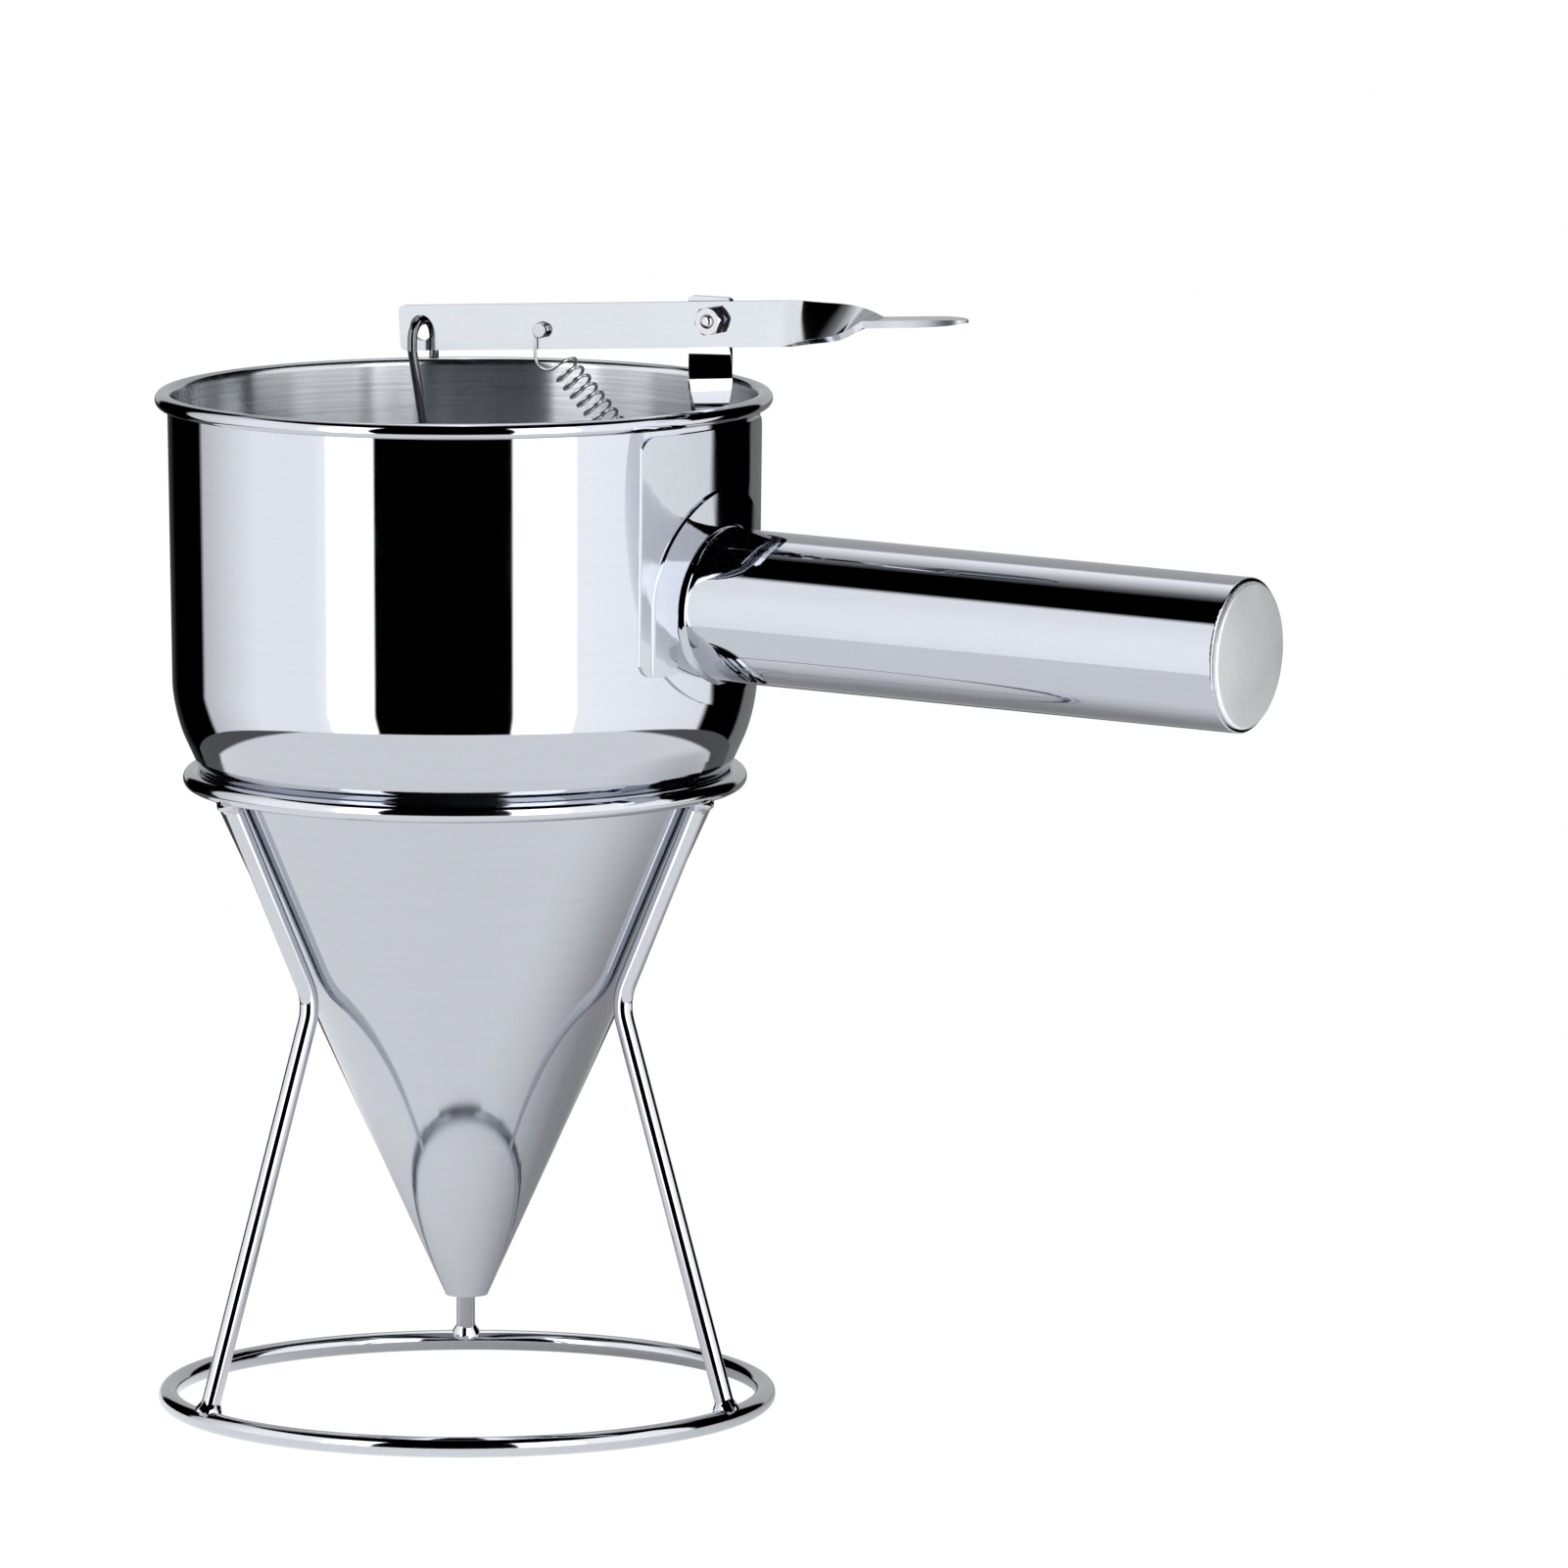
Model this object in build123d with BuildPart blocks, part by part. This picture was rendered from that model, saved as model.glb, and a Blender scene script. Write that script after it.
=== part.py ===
from build123d import *
from math import atan, cos, radians, sin, sqrt, tan
import os

# A hand-held batter dispenser: a steel funnel with a sprung lever valve, in its wire stand.
# Millimetres, +Z up, origin on the table at the centre of the stand's base ring.
# The handle points along +X.  The lever lies in a vertical plane along X, just in front of
# its bracket, and its thumb pad is over the handle.

# ---- driving dimensions -----------------------------------------------------------------
# wire stand
base_ring_outset = 1.75        # of the wire's middle beyond the cup's radius
base_wire = 4.3
top_ring_inset = 4.05          # of the wire's middle inside the cup's radius
stand_wire = 4.0               # top ring and legs
leg_count = 3
first_leg_angle = 0.2          # degrees from the handle
leg_bend_height = 88.5
leg_bend_radius = 12.0
leg_cone_gap = 0.7             # between a leg and the cone beside it
seat_gap = 0.25                # between the cone and the ring that it rests in

# funnel
sheet = 0.8
nozzle_height = 23.3           # of the nozzle's cut edge above the table
nozzle_radius = 4.4            # outside
cone_angle = 24.5              # half angle, from the axis
cup_radius = 61.25             # outside, where the cup meets the cone
cup_flare = 0.85               # how much wider the cup is at its rim
cup_height = 67.2              # from the cup's corner to the rim
shoulder_radius = 30.0         # the round between cup and cone
seam_drop = 7.6                # the welded seam's depth under the corner
rim_bead = 3.4                 # diameter of the rolled rim
rim_curl = 240.0               # degrees that the rim is rolled through

# handle and the two pressings that hold it
handle_drop = 39.9             # of the handle's axis below the rim, at the cup's axis
handle_droop = 1.45             # degrees
handle_length = 122.6          # from the cup's radius to the tube's end
tube_radius = 16.0
tube_wall = 0.8
tube_end_round = 0.5
flange_thickness = 0.8
flange_width = 44.0
flange_drop = 20.95             # of the flange's lowest point below the handle's axis
flange_foot_radius = 27.4      # of its round lower edge
neck_length = 5.0              # of the flange's neck inside the tube
neck_play = 0.05
plate_thickness = 0.6
plate_width = 50.8
plate_rim_gap = 1.2            # between the plate and the rolled rim
plate_length = 49.9
plate_corner = 3.0
emboss_width = 45.5
emboss_rise = 1.4              # of the arch's centre above the handle's axis
tube_hole_play = 1.0
cap_rise = 1.5                 # of the cap's dome beyond the tube
cap_edge = 0.8                 # height of the cap's shoulder
cap_round = 0.7
cap_crown = 6.0                # radius at which the dome turns level
cap_skirt = 6.0

# lever and its bracket
strip_width = 9.5
strip = 1.5                    # thickness of lever and bracket
pivot_inset = 0.15             # of the pivot inside the cup's radius
pivot_rise = 17.95             # of the pivot above the rim
lever_rise = 3.5               # degrees, up towards the thumb
lever_sag = 0.85                # of the lever's middle line below its pivot
lever_past_hook = 5.3          # from the hook's hole to the lever's end
lever_corner = 1.3
twist_start = 15.5             # from the pivot
twist_length = 21.6
twist_steps = 8
pad_length = 21.8
pad_tip = 7.4                  # length of the pad's rounded tip
pad_overlap = 0.2              # of the pad into the end of the twist
bracket_width = 10.0
bracket_inset = 2.15           # of the bracket's middle inside the cup's radius
bracket_top = 4.65             # of the bracket's upper edge above the pivot
bracket_corner = 1.0
bracket_flat = 9.6             # from the upper edge to the start of the twist
bracket_twist = 17.4
bracket_twist_shift = -0.4     # of the strip towards the wall over the twist
bracket_lean = 9.5             # height over which the tail leans out to the wall
bracket_tail = 15.0            # height that lies against the wall
bracket_bend = 6.0
bracket_steps = 6
wall_play = 0.05
lug_reach = 8.4                # of the spring's lug in from the wall
lug_width = 5.0
lug_hole = 1.7

# pivot bolt, M3
bolt_diameter = 3.0
bolt_play = 0.05               # radial, in the lever's hole
bolt_fit = 0.02                # radial, in the parts that stay still
bolt_head = 5.6
bolt_head_height = 2.0
bolt_end = 0.9                 # beyond the nut
nut_across = 5.5
nut_height = 2.4
nut_chamfer = 0.4
nut_turn = 9.0                 # degrees, of a corner from level
washer_diameter = 7.0
washer = 0.5
side_play = 0.1                # each side of the lever

# spring and its pin
pin_spacing = 40.75            # from the pivot
pin_drop = 0.75                 # below the lever's middle line
pin_shank = 2.0
pin_head = 3.2
pin_head_height = 0.6
pin_gap = 0.95                 # under the head, for the spring's hook
pin_back_height = 0.7
spring_wire = 0.7
spring_diameter = 6.4          # outside
spring_pitch = 2.33
spring_turns = 11
spring_angle = 46.0            # degrees down from level
coil_offset = (3.55, -7.4)     # of the first turn from the pin, along X and Z
hook_play = 0.1
swan_neck = 3.0                # radius between the upper hook and the coil
hook_run = 6.6                 # from the coil's lower end to the corner of its hook
hook_radii = [0.7, 3.0]        # of the lower hook
lug_above = 3.2                # of the lower hook's bend above the lug
lug_below = 1.4                # of the lower hook's end below the lug

# plunger
rod_diameter = 2.0
hook_width = 9.0               # between the middles of the hook's legs
hook_radius = 3.9
hook_hole = 5.4
hook_reach = 8.65              # of the hook from the cup's axis, away from the handle
hook_play_top = 0.12
hook_tail = 8.5                # length of the hook's free leg
rod_knee_drop = 6.2            # of the rod's upper bend below its hook
rod_sway_drop = 20.4           # of the bend where the rod starts to lean out
rod_sway = 0.80                # share of the lean that is left at that bend
rod_foot = 26.0                # of the straight foot above the plug
rod_bend = 22.0
plug_gap = 0.25
plug_lift = 1.0                # of the plug's tip above the nozzle's edge
plug_height = 11.0
plug_crown = 3.5
plug_neck = 3.2                # radius
rod_socket = 8.0

# ---- what follows from them --------------------------------------------------------------
slope = tan(radians(cone_angle))
slant = cos(radians(cone_angle))
corner_height = nozzle_height + (cup_radius - nozzle_radius) / slope
rim_height = corner_height + cup_height
base_ring_radius = cup_radius + base_ring_outset
top_ring_radius = cup_radius - top_ring_inset
handle_reach = cup_radius + handle_length
pivot_reach = cup_radius - pivot_inset
bracket_reach = cup_radius - bracket_inset
flare_slope = cup_flare / cup_height
flare_slant = cos(atan(flare_slope))
seam_height = corner_height - seam_drop
curl_outer = rim_bead / 2
curl_inner = curl_outer - sheet
curl_height = rim_height - curl_outer


def cone_radius(height, grow=0.0):
    """Radius of the cone's outer face, moved outward by grow, at a height."""
    return nozzle_radius + (height - nozzle_height) * slope + grow / slant


def cup_wall_radius(height, grow=0.0):
    """Radius of the cup's outer face, moved outward by grow, at a height."""
    return cup_radius + (height - corner_height) * flare_slope + grow / flare_slant


def corner(grow=0.0):
    """Where the cup's and the cone's faces, both moved outward by grow, would meet."""
    gap = cup_wall_radius(corner_height, grow) - cone_radius(corner_height, grow)
    height = corner_height + gap / (slope - flare_slope)
    return (cone_radius(height, grow), height)


handle_height = rim_height - handle_drop
handle_axis = Plane(
    origin=(0, 0, handle_height),
    x_dir=(0, 1, 0),
    z_dir=(cos(radians(handle_droop)), 0, -sin(radians(handle_droop))),
)

pivot_height = rim_height + pivot_rise
lever_y = -(strip + washer + side_play)
lever_plane = Plane(
    origin=(pivot_reach, lever_y, pivot_height),
    x_dir=(cos(radians(lever_rise)), 0, sin(radians(lever_rise))),
    z_dir=(0, -1, 0),
)
lever_face_y = lever_y - strip / 2
hole_from_pivot = -(pivot_reach + hook_reach) / cos(radians(lever_rise))
lever_front = lever_past_hook - hole_from_pivot
hole_centre = lever_plane.from_local_coords((hole_from_pivot, -lever_sag, 0))
hook_height = hole_centre.Z + hook_hole / 2 - rod_diameter / 2 - hook_play_top


# ---- funnel ------------------------------------------------------------------------------
def body_of_funnel(grow):
    """The filled outer form of cup and cone without the rim, moved outward by grow."""
    foot = (cone_radius(nozzle_height, grow), nozzle_height)
    top = (cup_wall_radius(curl_height, grow), curl_height)
    with BuildPart() as form:
        with BuildSketch(Plane.XZ):
            with BuildLine():
                wall = FilletPolyline(foot, corner(grow), top, radius=shoulder_radius + grow)
                Polyline(wall @ 1, (0, curl_height), (0, nozzle_height), wall @ 0)
            make_face()
        revolve(axis=Axis.Z)
    return form.part


# The cup: spun sheet with its rim rolled outward and its foot drawn in to a round shoulder.
with BuildPart() as funnel_cup:
    with BuildSketch(Plane.XZ):
        with BuildLine():
            outside = FilletPolyline(
                (cone_radius(seam_height), seam_height),
                corner(),
                (cup_wall_radius(curl_height), curl_height),
                radius=shoulder_radius,
            )
            inside = FilletPolyline(
                (cone_radius(seam_height, -sheet), seam_height),
                corner(-sheet),
                (cup_wall_radius(curl_height, -sheet), curl_height),
                radius=shoulder_radius - sheet,
            )
            Line(outside @ 0, inside @ 0)
            Line(outside @ 1, inside @ 1)
        make_face()
        with BuildLine():
            curl_centre = (cup_wall_radius(curl_height) + curl_inner, curl_height)
            back = CenterArc(curl_centre, curl_outer, 180 - rim_curl, rim_curl)
            front = CenterArc(curl_centre, curl_inner, 180 - rim_curl, rim_curl)
            Line(back @ 0, front @ 0)
            Line(back @ 1, front @ 1)
        make_face()
    revolve(axis=Axis.Z)
funnel_cup.part.label = "funnel_cup"

# The cone: rolled sheet, welded to the cup at the seam and cut square at the nozzle.
with BuildPart() as funnel_cone:
    with BuildSketch(Plane.XZ):
        with BuildLine():
            Polyline(
                (cone_radius(nozzle_height), nozzle_height),
                (cone_radius(seam_height), seam_height),
                (cone_radius(seam_height, -sheet), seam_height),
                (cone_radius(nozzle_height, -sheet), nozzle_height),
                close=True,
            )
        make_face()
    revolve(axis=Axis.Z)
funnel_cone.part.label = "funnel_cone"


# ---- handle ------------------------------------------------------------------------------
flange_skin = body_of_funnel(flange_thickness)
cup_form = body_of_funnel(0)
plate_top = rim_height - rim_bead - plate_rim_gap
plate_bottom = plate_top - plate_length
root_height = handle_height - cup_radius * tan(radians(handle_droop))
arch_height = root_height + emboss_rise

# The handle's flange: a pressing that follows the cup, with a neck into the tube.
with BuildPart() as handle_flange:
    with BuildSketch(Plane.YZ):
        with Locations((0, arch_height)):
            Circle(flange_width / 2)
        with Locations((0, arch_height - cup_radius)):
            Rectangle(flange_width, 2 * cup_radius)
        with Locations((0, root_height - flange_drop + flange_foot_radius)):
            Circle(flange_foot_radius, mode=Mode.INTERSECT)
    extrude(amount=2 * cup_radius)
    add(flange_skin, mode=Mode.INTERSECT)
    with BuildSketch(handle_axis):
        Circle(tube_radius - tube_wall - neck_play)
    extrude(amount=cup_radius + flange_thickness + neck_length)
    add(cup_form, mode=Mode.SUBTRACT)
    with BuildSketch(handle_axis):
        Circle(tube_radius - 2 * tube_wall - neck_play)
    extrude(amount=2 * cup_radius, mode=Mode.SUBTRACT)
handle_flange.part.label = "handle_flange"


def arch_relief(width, grow):
    """An upright arch across the handle, out to the funnel's form moved outward by grow."""
    with BuildPart() as relief:
        with BuildSketch(Plane.YZ):
            with Locations((0, arch_height)):
                Circle(width / 2)
            with Locations((0, (arch_height + plate_bottom) / 2)):
                Rectangle(width, arch_height - plate_bottom)
            with Locations((0, plate_bottom - cup_radius)):
                Rectangle(2 * cup_radius, 2 * cup_radius, mode=Mode.SUBTRACT)
        extrude(amount=2 * cup_radius)
        add(body_of_funnel(grow), mode=Mode.INTERSECT)
    return relief.part


plate_skin = body_of_funnel(plate_thickness)
raised = arch_relief(emboss_width, flange_thickness + plate_thickness)
hollow = arch_relief(emboss_width - 2 * plate_thickness, flange_thickness)

# The retaining plate: sheet welded to the cup, embossed over the flange, open at the bottom.
with BuildPart() as handle_plate:
    with BuildSketch(Plane.YZ):
        with Locations((0, (plate_top + plate_bottom) / 2)):
            Rectangle(plate_width, plate_length)
        fillet(vertices().group_by(Axis.Z)[-1], radius=plate_corner)
    extrude(amount=2 * cup_radius)
    add(plate_skin, mode=Mode.INTERSECT)
    add(raised)
    add(cup_form, mode=Mode.SUBTRACT)
    add(hollow, mode=Mode.SUBTRACT)
    with BuildSketch(Plane.YZ):
        with Locations((0, root_height)):
            Circle(tube_radius + tube_hole_play)
        with Locations((0, root_height - cup_radius)):
            Rectangle(2 * (tube_radius + tube_hole_play), 2 * cup_radius)
    extrude(amount=2 * cup_radius, mode=Mode.SUBTRACT)
handle_plate.part.label = "handle_plate"

# The handle: a straight tube, cut at its root to sit on the flange.
with BuildPart() as handle_tube:
    with BuildSketch(handle_axis):
        Circle(tube_radius)
        Circle(tube_radius - tube_wall, mode=Mode.SUBTRACT)
    extrude(amount=handle_reach)
    add(flange_skin, mode=Mode.SUBTRACT)
    fillet(faces().sort_by(Axis.X)[-1].outer_wire().edges(), radius=tube_end_round)
handle_tube.part.label = "handle_tube"

# The end cap: a shallow pressed dome, its skirt pushed into the tube.
handle_end = handle_axis.offset(handle_reach)
skirt_radius = tube_radius - tube_wall - neck_play
skirt_inside = skirt_radius - sheet

with BuildPart() as handle_cap:
    with BuildSketch(Plane(handle_end.origin, x_dir=handle_end.x_dir, z_dir=-handle_end.y_dir)):
        with BuildLine():
            dome = FilletPolyline(
                (skirt_radius, -cap_skirt),
                (skirt_radius, cap_edge),
                (cap_crown, cap_rise),
                (0, cap_rise),
                radius=[cap_round, tube_radius],
            )
            Polyline(
                dome @ 1,
                (0, cap_rise - sheet),
                (skirt_inside, cap_edge - sheet),
                (skirt_inside, -cap_skirt),
                dome @ 0,
            )
        make_face()
    revolve(axis=Axis(handle_end.origin, handle_end.z_dir))
handle_cap.part.label = "handle_cap"


# ---- lever -------------------------------------------------------------------------------
def twisted_strip(sections, width):
    """Loft a strip through planes whose local x runs across its width."""
    with BuildPart() as twist:
        for section in sections:
            with BuildSketch(section):
                Rectangle(width, strip)
        loft()
    return twist.part


def lever_section(turn, distance):
    """A plane across the lever at a distance from the pivot, turned about its length."""
    along = lever_plane.x_dir
    up = lever_plane.y_dir * cos(radians(turn)) + Vector(0, 1, 0) * sin(radians(turn))
    middle = lever_plane.from_local_coords((distance, -lever_sag, 0))
    return Plane(origin=middle, x_dir=up, z_dir=along)


twist_end = twist_start + twist_length
pad_plane = Plane(
    origin=lever_plane.from_local_coords((twist_end, -lever_sag, 0)),
    x_dir=lever_plane.x_dir,
    z_dir=lever_plane.y_dir,
)

with BuildPart() as lever:
    with BuildSketch(lever_plane):
        with Locations(((twist_start - lever_front) / 2, -lever_sag)):
            Rectangle(twist_start + lever_front, strip_width)
        fillet(vertices().group_by(Axis.X)[0], radius=lever_corner)
        Circle(bolt_diameter / 2 + bolt_play, mode=Mode.SUBTRACT)
        with Locations((hole_from_pivot, -lever_sag)):
            Circle(hook_hole / 2, mode=Mode.SUBTRACT)
        with Locations((-pin_spacing, -lever_sag - pin_drop)):
            Circle(pin_shank / 2 + bolt_fit, mode=Mode.SUBTRACT)
    extrude(amount=strip / 2, both=True)
    turns = [90 * step / twist_steps for step in range(twist_steps + 1)]
    stations = [twist_start + twist_length * step / twist_steps for step in range(twist_steps + 1)]
    add(twisted_strip([lever_section(a, d) for a, d in zip(turns, stations)], strip_width))
    with BuildSketch(pad_plane):
        with Locations(((pad_length - pad_tip - pad_overlap) / 2, 0)):
            Rectangle(pad_length - pad_tip + pad_overlap, strip_width)
        with Locations((pad_length - pad_tip, 0)):
            Ellipse(pad_tip, strip_width / 2)
    extrude(amount=strip / 2, both=True)
lever.part.label = "lever"


# ---- bracket -----------------------------------------------------------------------------
bracket_upper = pivot_height + bracket_top
twist_top = bracket_upper - bracket_flat
twist_foot = twist_top - bracket_twist
tail_top = twist_foot - bracket_lean
tail_foot = tail_top - bracket_tail


def wall_seat(height):
    """Distance from the cup's axis to the middle of a flat strip laid against the wall."""
    inner = cup_wall_radius(height, -sheet)
    return sqrt(inner**2 - (bracket_width / 2) ** 2) - strip / 2 - wall_play


def bracket_section(share):
    """A level plane across the bracket at a share of its twist, from X round to Y."""
    turn = radians(90 * share)
    reach = bracket_reach + bracket_twist_shift * share
    height = twist_top - bracket_twist * share
    return Plane(origin=(reach, 0, height), x_dir=(cos(turn), sin(turn), 0), z_dir=(0, 0, 1))


lug_outer = wall_seat(tail_foot) + strip / 2
lug_inner = cup_wall_radius(tail_foot, -sheet) - lug_reach
spring_y = lever_face_y - pin_gap / 2
lug_hole_reach = lug_inner + lug_width / 2

with BuildPart() as lever_bracket:
    with BuildSketch(Plane.XZ):
        with Locations((bracket_reach, (bracket_upper + twist_top) / 2)):
            Rectangle(bracket_width, bracket_flat)
        fillet(vertices().group_by(Axis.Z)[-1], radius=bracket_corner)
        with Locations((pivot_reach, pivot_height)):
            Circle(bolt_diameter / 2 + bolt_fit, mode=Mode.SUBTRACT)
    extrude(amount=strip / 2, both=True)
    shares = [step / bracket_steps for step in range(bracket_steps + 1)]
    add(twisted_strip([bracket_section(share) for share in shares], bracket_width))
    with BuildSketch(Plane.XZ):
        with BuildLine():
            FilletPolyline(
                (bracket_reach + bracket_twist_shift - strip / 2, twist_foot),
                (wall_seat(tail_top) - strip / 2, tail_top),
                (wall_seat(tail_foot) - strip / 2, tail_foot),
                radius=bracket_bend,
            )
            offset(amount=strip, side=Side.LEFT)
        make_face()
    extrude(amount=bracket_width / 2, both=True)
    with BuildSketch(Plane.XY.offset(tail_foot)):
        with Locations(((lug_inner + lug_outer) / 2, spring_y)):
            Rectangle(lug_outer - lug_inner, lug_width)
        with Locations((lug_hole_reach, spring_y)):
            Circle(lug_hole / 2, mode=Mode.SUBTRACT)
    extrude(amount=strip)
lever_bracket.part.label = "lever_bracket"


# ---- pivot bolt, washer and nut -------------------------------------------------------------
def across_pivot(front_y):
    """A plane across the pivot that faces forward, with its origin on the pivot's axis."""
    return Plane(origin=(pivot_reach, front_y, pivot_height), x_dir=(1, 0, 0), z_dir=(0, -1, 0))


washer_y = -strip / 2
nut_y = lever_face_y - side_play
bolt_tip_y = nut_y - nut_height - bolt_end

with BuildPart() as pivot_washer:
    with BuildSketch(across_pivot(washer_y)):
        Circle(washer_diameter / 2)
        Circle(bolt_diameter / 2 + bolt_fit, mode=Mode.SUBTRACT)
    extrude(amount=washer)
pivot_washer.part.label = "pivot_washer"

with BuildPart() as pivot_bolt:
    with BuildSketch(across_pivot(strip / 2)):
        Circle(bolt_diameter / 2)
    extrude(amount=strip / 2 - bolt_tip_y)
    fillet(faces().sort_by(Axis.Y)[0].edges(), radius=bolt_end)
    with BuildSketch(across_pivot(strip / 2)):
        Circle(bolt_head / 2)
    extrude(amount=-bolt_head_height)
    fillet(faces().sort_by(Axis.Y)[-1].edges(), radius=bolt_head_height / 2)
pivot_bolt.part.label = "pivot_bolt"

nut_corner = nut_across / 2 / cos(radians(30))
nut_front = across_pivot(nut_y)

with BuildPart() as nut_round:
    with BuildSketch(Plane(nut_front.origin, x_dir=nut_front.x_dir, z_dir=-nut_front.y_dir)):
        with BuildLine():
            Polyline(
                (0, 0),
                (nut_across / 2, 0),
                (nut_corner, nut_chamfer),
                (nut_corner, nut_height - nut_chamfer),
                (nut_across / 2, nut_height),
                (0, nut_height),
                close=True,
            )
        make_face()
    revolve(axis=Axis(nut_front.origin, nut_front.z_dir))

with BuildPart() as pivot_nut:
    with BuildSketch(nut_front):
        RegularPolygon(nut_across / 2, 6, major_radius=False, rotation=nut_turn)
        Circle(bolt_diameter / 2 + bolt_fit, mode=Mode.SUBTRACT)
    extrude(amount=nut_height)
    add(nut_round.part, mode=Mode.INTERSECT)
pivot_nut.part.label = "pivot_nut"

# ---- spring pin ----------------------------------------------------------------------------
pin_centre = lever_plane.from_local_coords((-pin_spacing, -lever_sag - pin_drop, 0))


def across_pin(front_y):
    """A plane across the pin that faces forward, with its origin on the pin's axis."""
    return Plane(origin=(pin_centre.X, front_y, pin_centre.Z), x_dir=(1, 0, 0), z_dir=(0, -1, 0))


with BuildPart() as spring_pin:
    with BuildSketch(across_pin(lever_y + strip / 2)):
        Circle(pin_shank / 2)
    extrude(amount=strip + pin_gap)
    with BuildSketch(across_pin(lever_face_y - pin_gap)):
        Circle(pin_head / 2)
    extrude(amount=pin_head_height)
    fillet(faces().sort_by(Axis.Y)[0].edges(), radius=pin_head_height / 3)
    with BuildSketch(across_pin(lever_y + strip / 2)):
        Circle(pin_head / 2)
    extrude(amount=-pin_back_height)
    fillet(faces().sort_by(Axis.Y)[-1].edges(), radius=pin_back_height / 2)
spring_pin.part.label = "spring_pin"


# ---- wires ---------------------------------------------------------------------------------
def bent_wire(points, radii, diameter):
    """A round wire along straight runs joined by arcs."""
    with BuildPart() as wire:
        with BuildLine() as path:
            FilletPolyline(*points, radius=radii)
        with BuildSketch(Plane(origin=path.line @ 0, z_dir=path.line % 0)):
            Circle(diameter / 2)
        sweep()
    return wire.part


# ---- return spring -------------------------------------------------------------------------
# The coil's axis lies one coil radius behind the plane of its two hooks, so that each hook
# runs on from the coil's near side without a kink.
coil_radius = (spring_diameter - spring_wire) / 2
down = Vector(cos(radians(spring_angle)), 0, -sin(radians(spring_angle)))
first_turn = Vector(pin_centre.X + coil_offset[0], spring_y, pin_centre.Z + coil_offset[1])
coil_plane = Plane(origin=first_turn + Vector(0, coil_radius, 0), x_dir=(0, -1, 0), z_dir=down)
coil = coil_plane.location * Helix(
    spring_pitch, spring_pitch * spring_turns, coil_radius, lefthand=True
)
loop = pin_shank / 2 + hook_play + spring_wire / 2
last_turn = coil @ 1
neck_drop = (first_turn.X - pin_centre.X + loop) * (coil % 0).Z / (coil % 0).X
last_corner = last_turn + (coil % 1) * hook_run
lug_top = tail_foot + strip

with BuildPart() as return_spring:
    with BuildSketch(Plane(origin=first_turn, z_dir=coil % 0)):
        Circle(spring_wire / 2)
    sweep(path=coil, is_frenet=True)
    with BuildLine(Plane.XZ.offset(-spring_y)) as upper_hook:
        CenterArc((pin_centre.X, pin_centre.Z), loop, 0, 180)
        FilletPolyline(
            (pin_centre.X - loop, pin_centre.Z),
            (pin_centre.X - loop, first_turn.Z - neck_drop),
            (first_turn.X, first_turn.Z),
            radius=swan_neck,
        )
    with BuildSketch(Plane(origin=first_turn, z_dir=coil % 0)):
        Circle(spring_wire / 2)
    sweep(path=upper_hook.line)
    with BuildLine(Plane.XZ.offset(-spring_y)) as lower_hook:
        FilletPolyline(
            (last_turn.X, last_turn.Z),
            (last_corner.X, last_corner.Z),
            (lug_hole_reach, lug_top + lug_above),
            (lug_hole_reach, tail_foot - lug_below),
            radius=hook_radii,
        )
    with BuildSketch(Plane(origin=last_turn, z_dir=coil % 1)):
        Circle(spring_wire / 2)
    sweep(path=lower_hook.line)
return_spring.part.label = "return_spring"

# ---- plunger -------------------------------------------------------------------------------
plug_foot = nozzle_height + plug_lift
plug_top = plug_foot + plug_height
plug_inset = -(sheet + plug_gap)

# The plug: a turned cone that closes the nozzle from inside.
with BuildPart() as plunger_plug:
    with BuildSketch(Plane.XZ):
        with BuildLine():
            Polyline(
                (0, plug_foot),
                (cone_radius(plug_foot, plug_inset), plug_foot),
                (cone_radius(plug_top, plug_inset), plug_top),
                (plug_neck, plug_top + plug_crown),
                (0, plug_top + plug_crown),
                close=True,
            )
        make_face()
    revolve(axis=Axis.Z)
    with BuildSketch(Plane.XY.offset(plug_top + plug_crown)):
        Circle(rod_diameter / 2 + bolt_fit)
    extrude(amount=-rod_socket, mode=Mode.SUBTRACT)
plunger_plug.part.label = "plunger_plug"

# The rod: one wire from the plug up to a hook through the lever's hole.
hook_front_y = lever_y - hook_width / 2
hook_back_y = lever_y + hook_width / 2
socket_floor = plug_top + plug_crown - rod_socket
rod_points = [
    (0, 0, socket_floor),
    (0, 0, plug_top + rod_foot),
    (hole_centre.X * rod_sway, hook_front_y * rod_sway, hook_height - rod_sway_drop),
    (hole_centre.X, hook_front_y, hook_height - rod_knee_drop),
    (hole_centre.X, hook_front_y, hook_height),
    (hole_centre.X, hook_back_y, hook_height),
    (hole_centre.X, hook_back_y, hook_height - hook_tail),
]
rod_radii = [rod_bend, rod_bend, hook_radius, hook_radius, hook_radius]

with BuildPart() as plunger_rod:
    add(bent_wire(rod_points, rod_radii, rod_diameter))
plunger_rod.part.label = "plunger_rod"

# ---- stand ---------------------------------------------------------------------------------
ring_seat = top_ring_radius - (stand_wire / 2 + seat_gap) / slant
top_ring_height = nozzle_height + (ring_seat - nozzle_radius) / slope
leg_bend_reach = cone_radius(leg_bend_height, stand_wire / 2 + leg_cone_gap)

with BuildPart() as stand_base_ring:
    with Locations((0, 0, base_wire / 2)):
        Torus(base_ring_radius, base_wire / 2)
stand_base_ring.part.label = "stand_base_ring"

with BuildPart() as stand_top_ring:
    with Locations((0, 0, top_ring_height)):
        Torus(top_ring_radius, stand_wire / 2)
stand_top_ring.part.label = "stand_top_ring"

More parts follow.
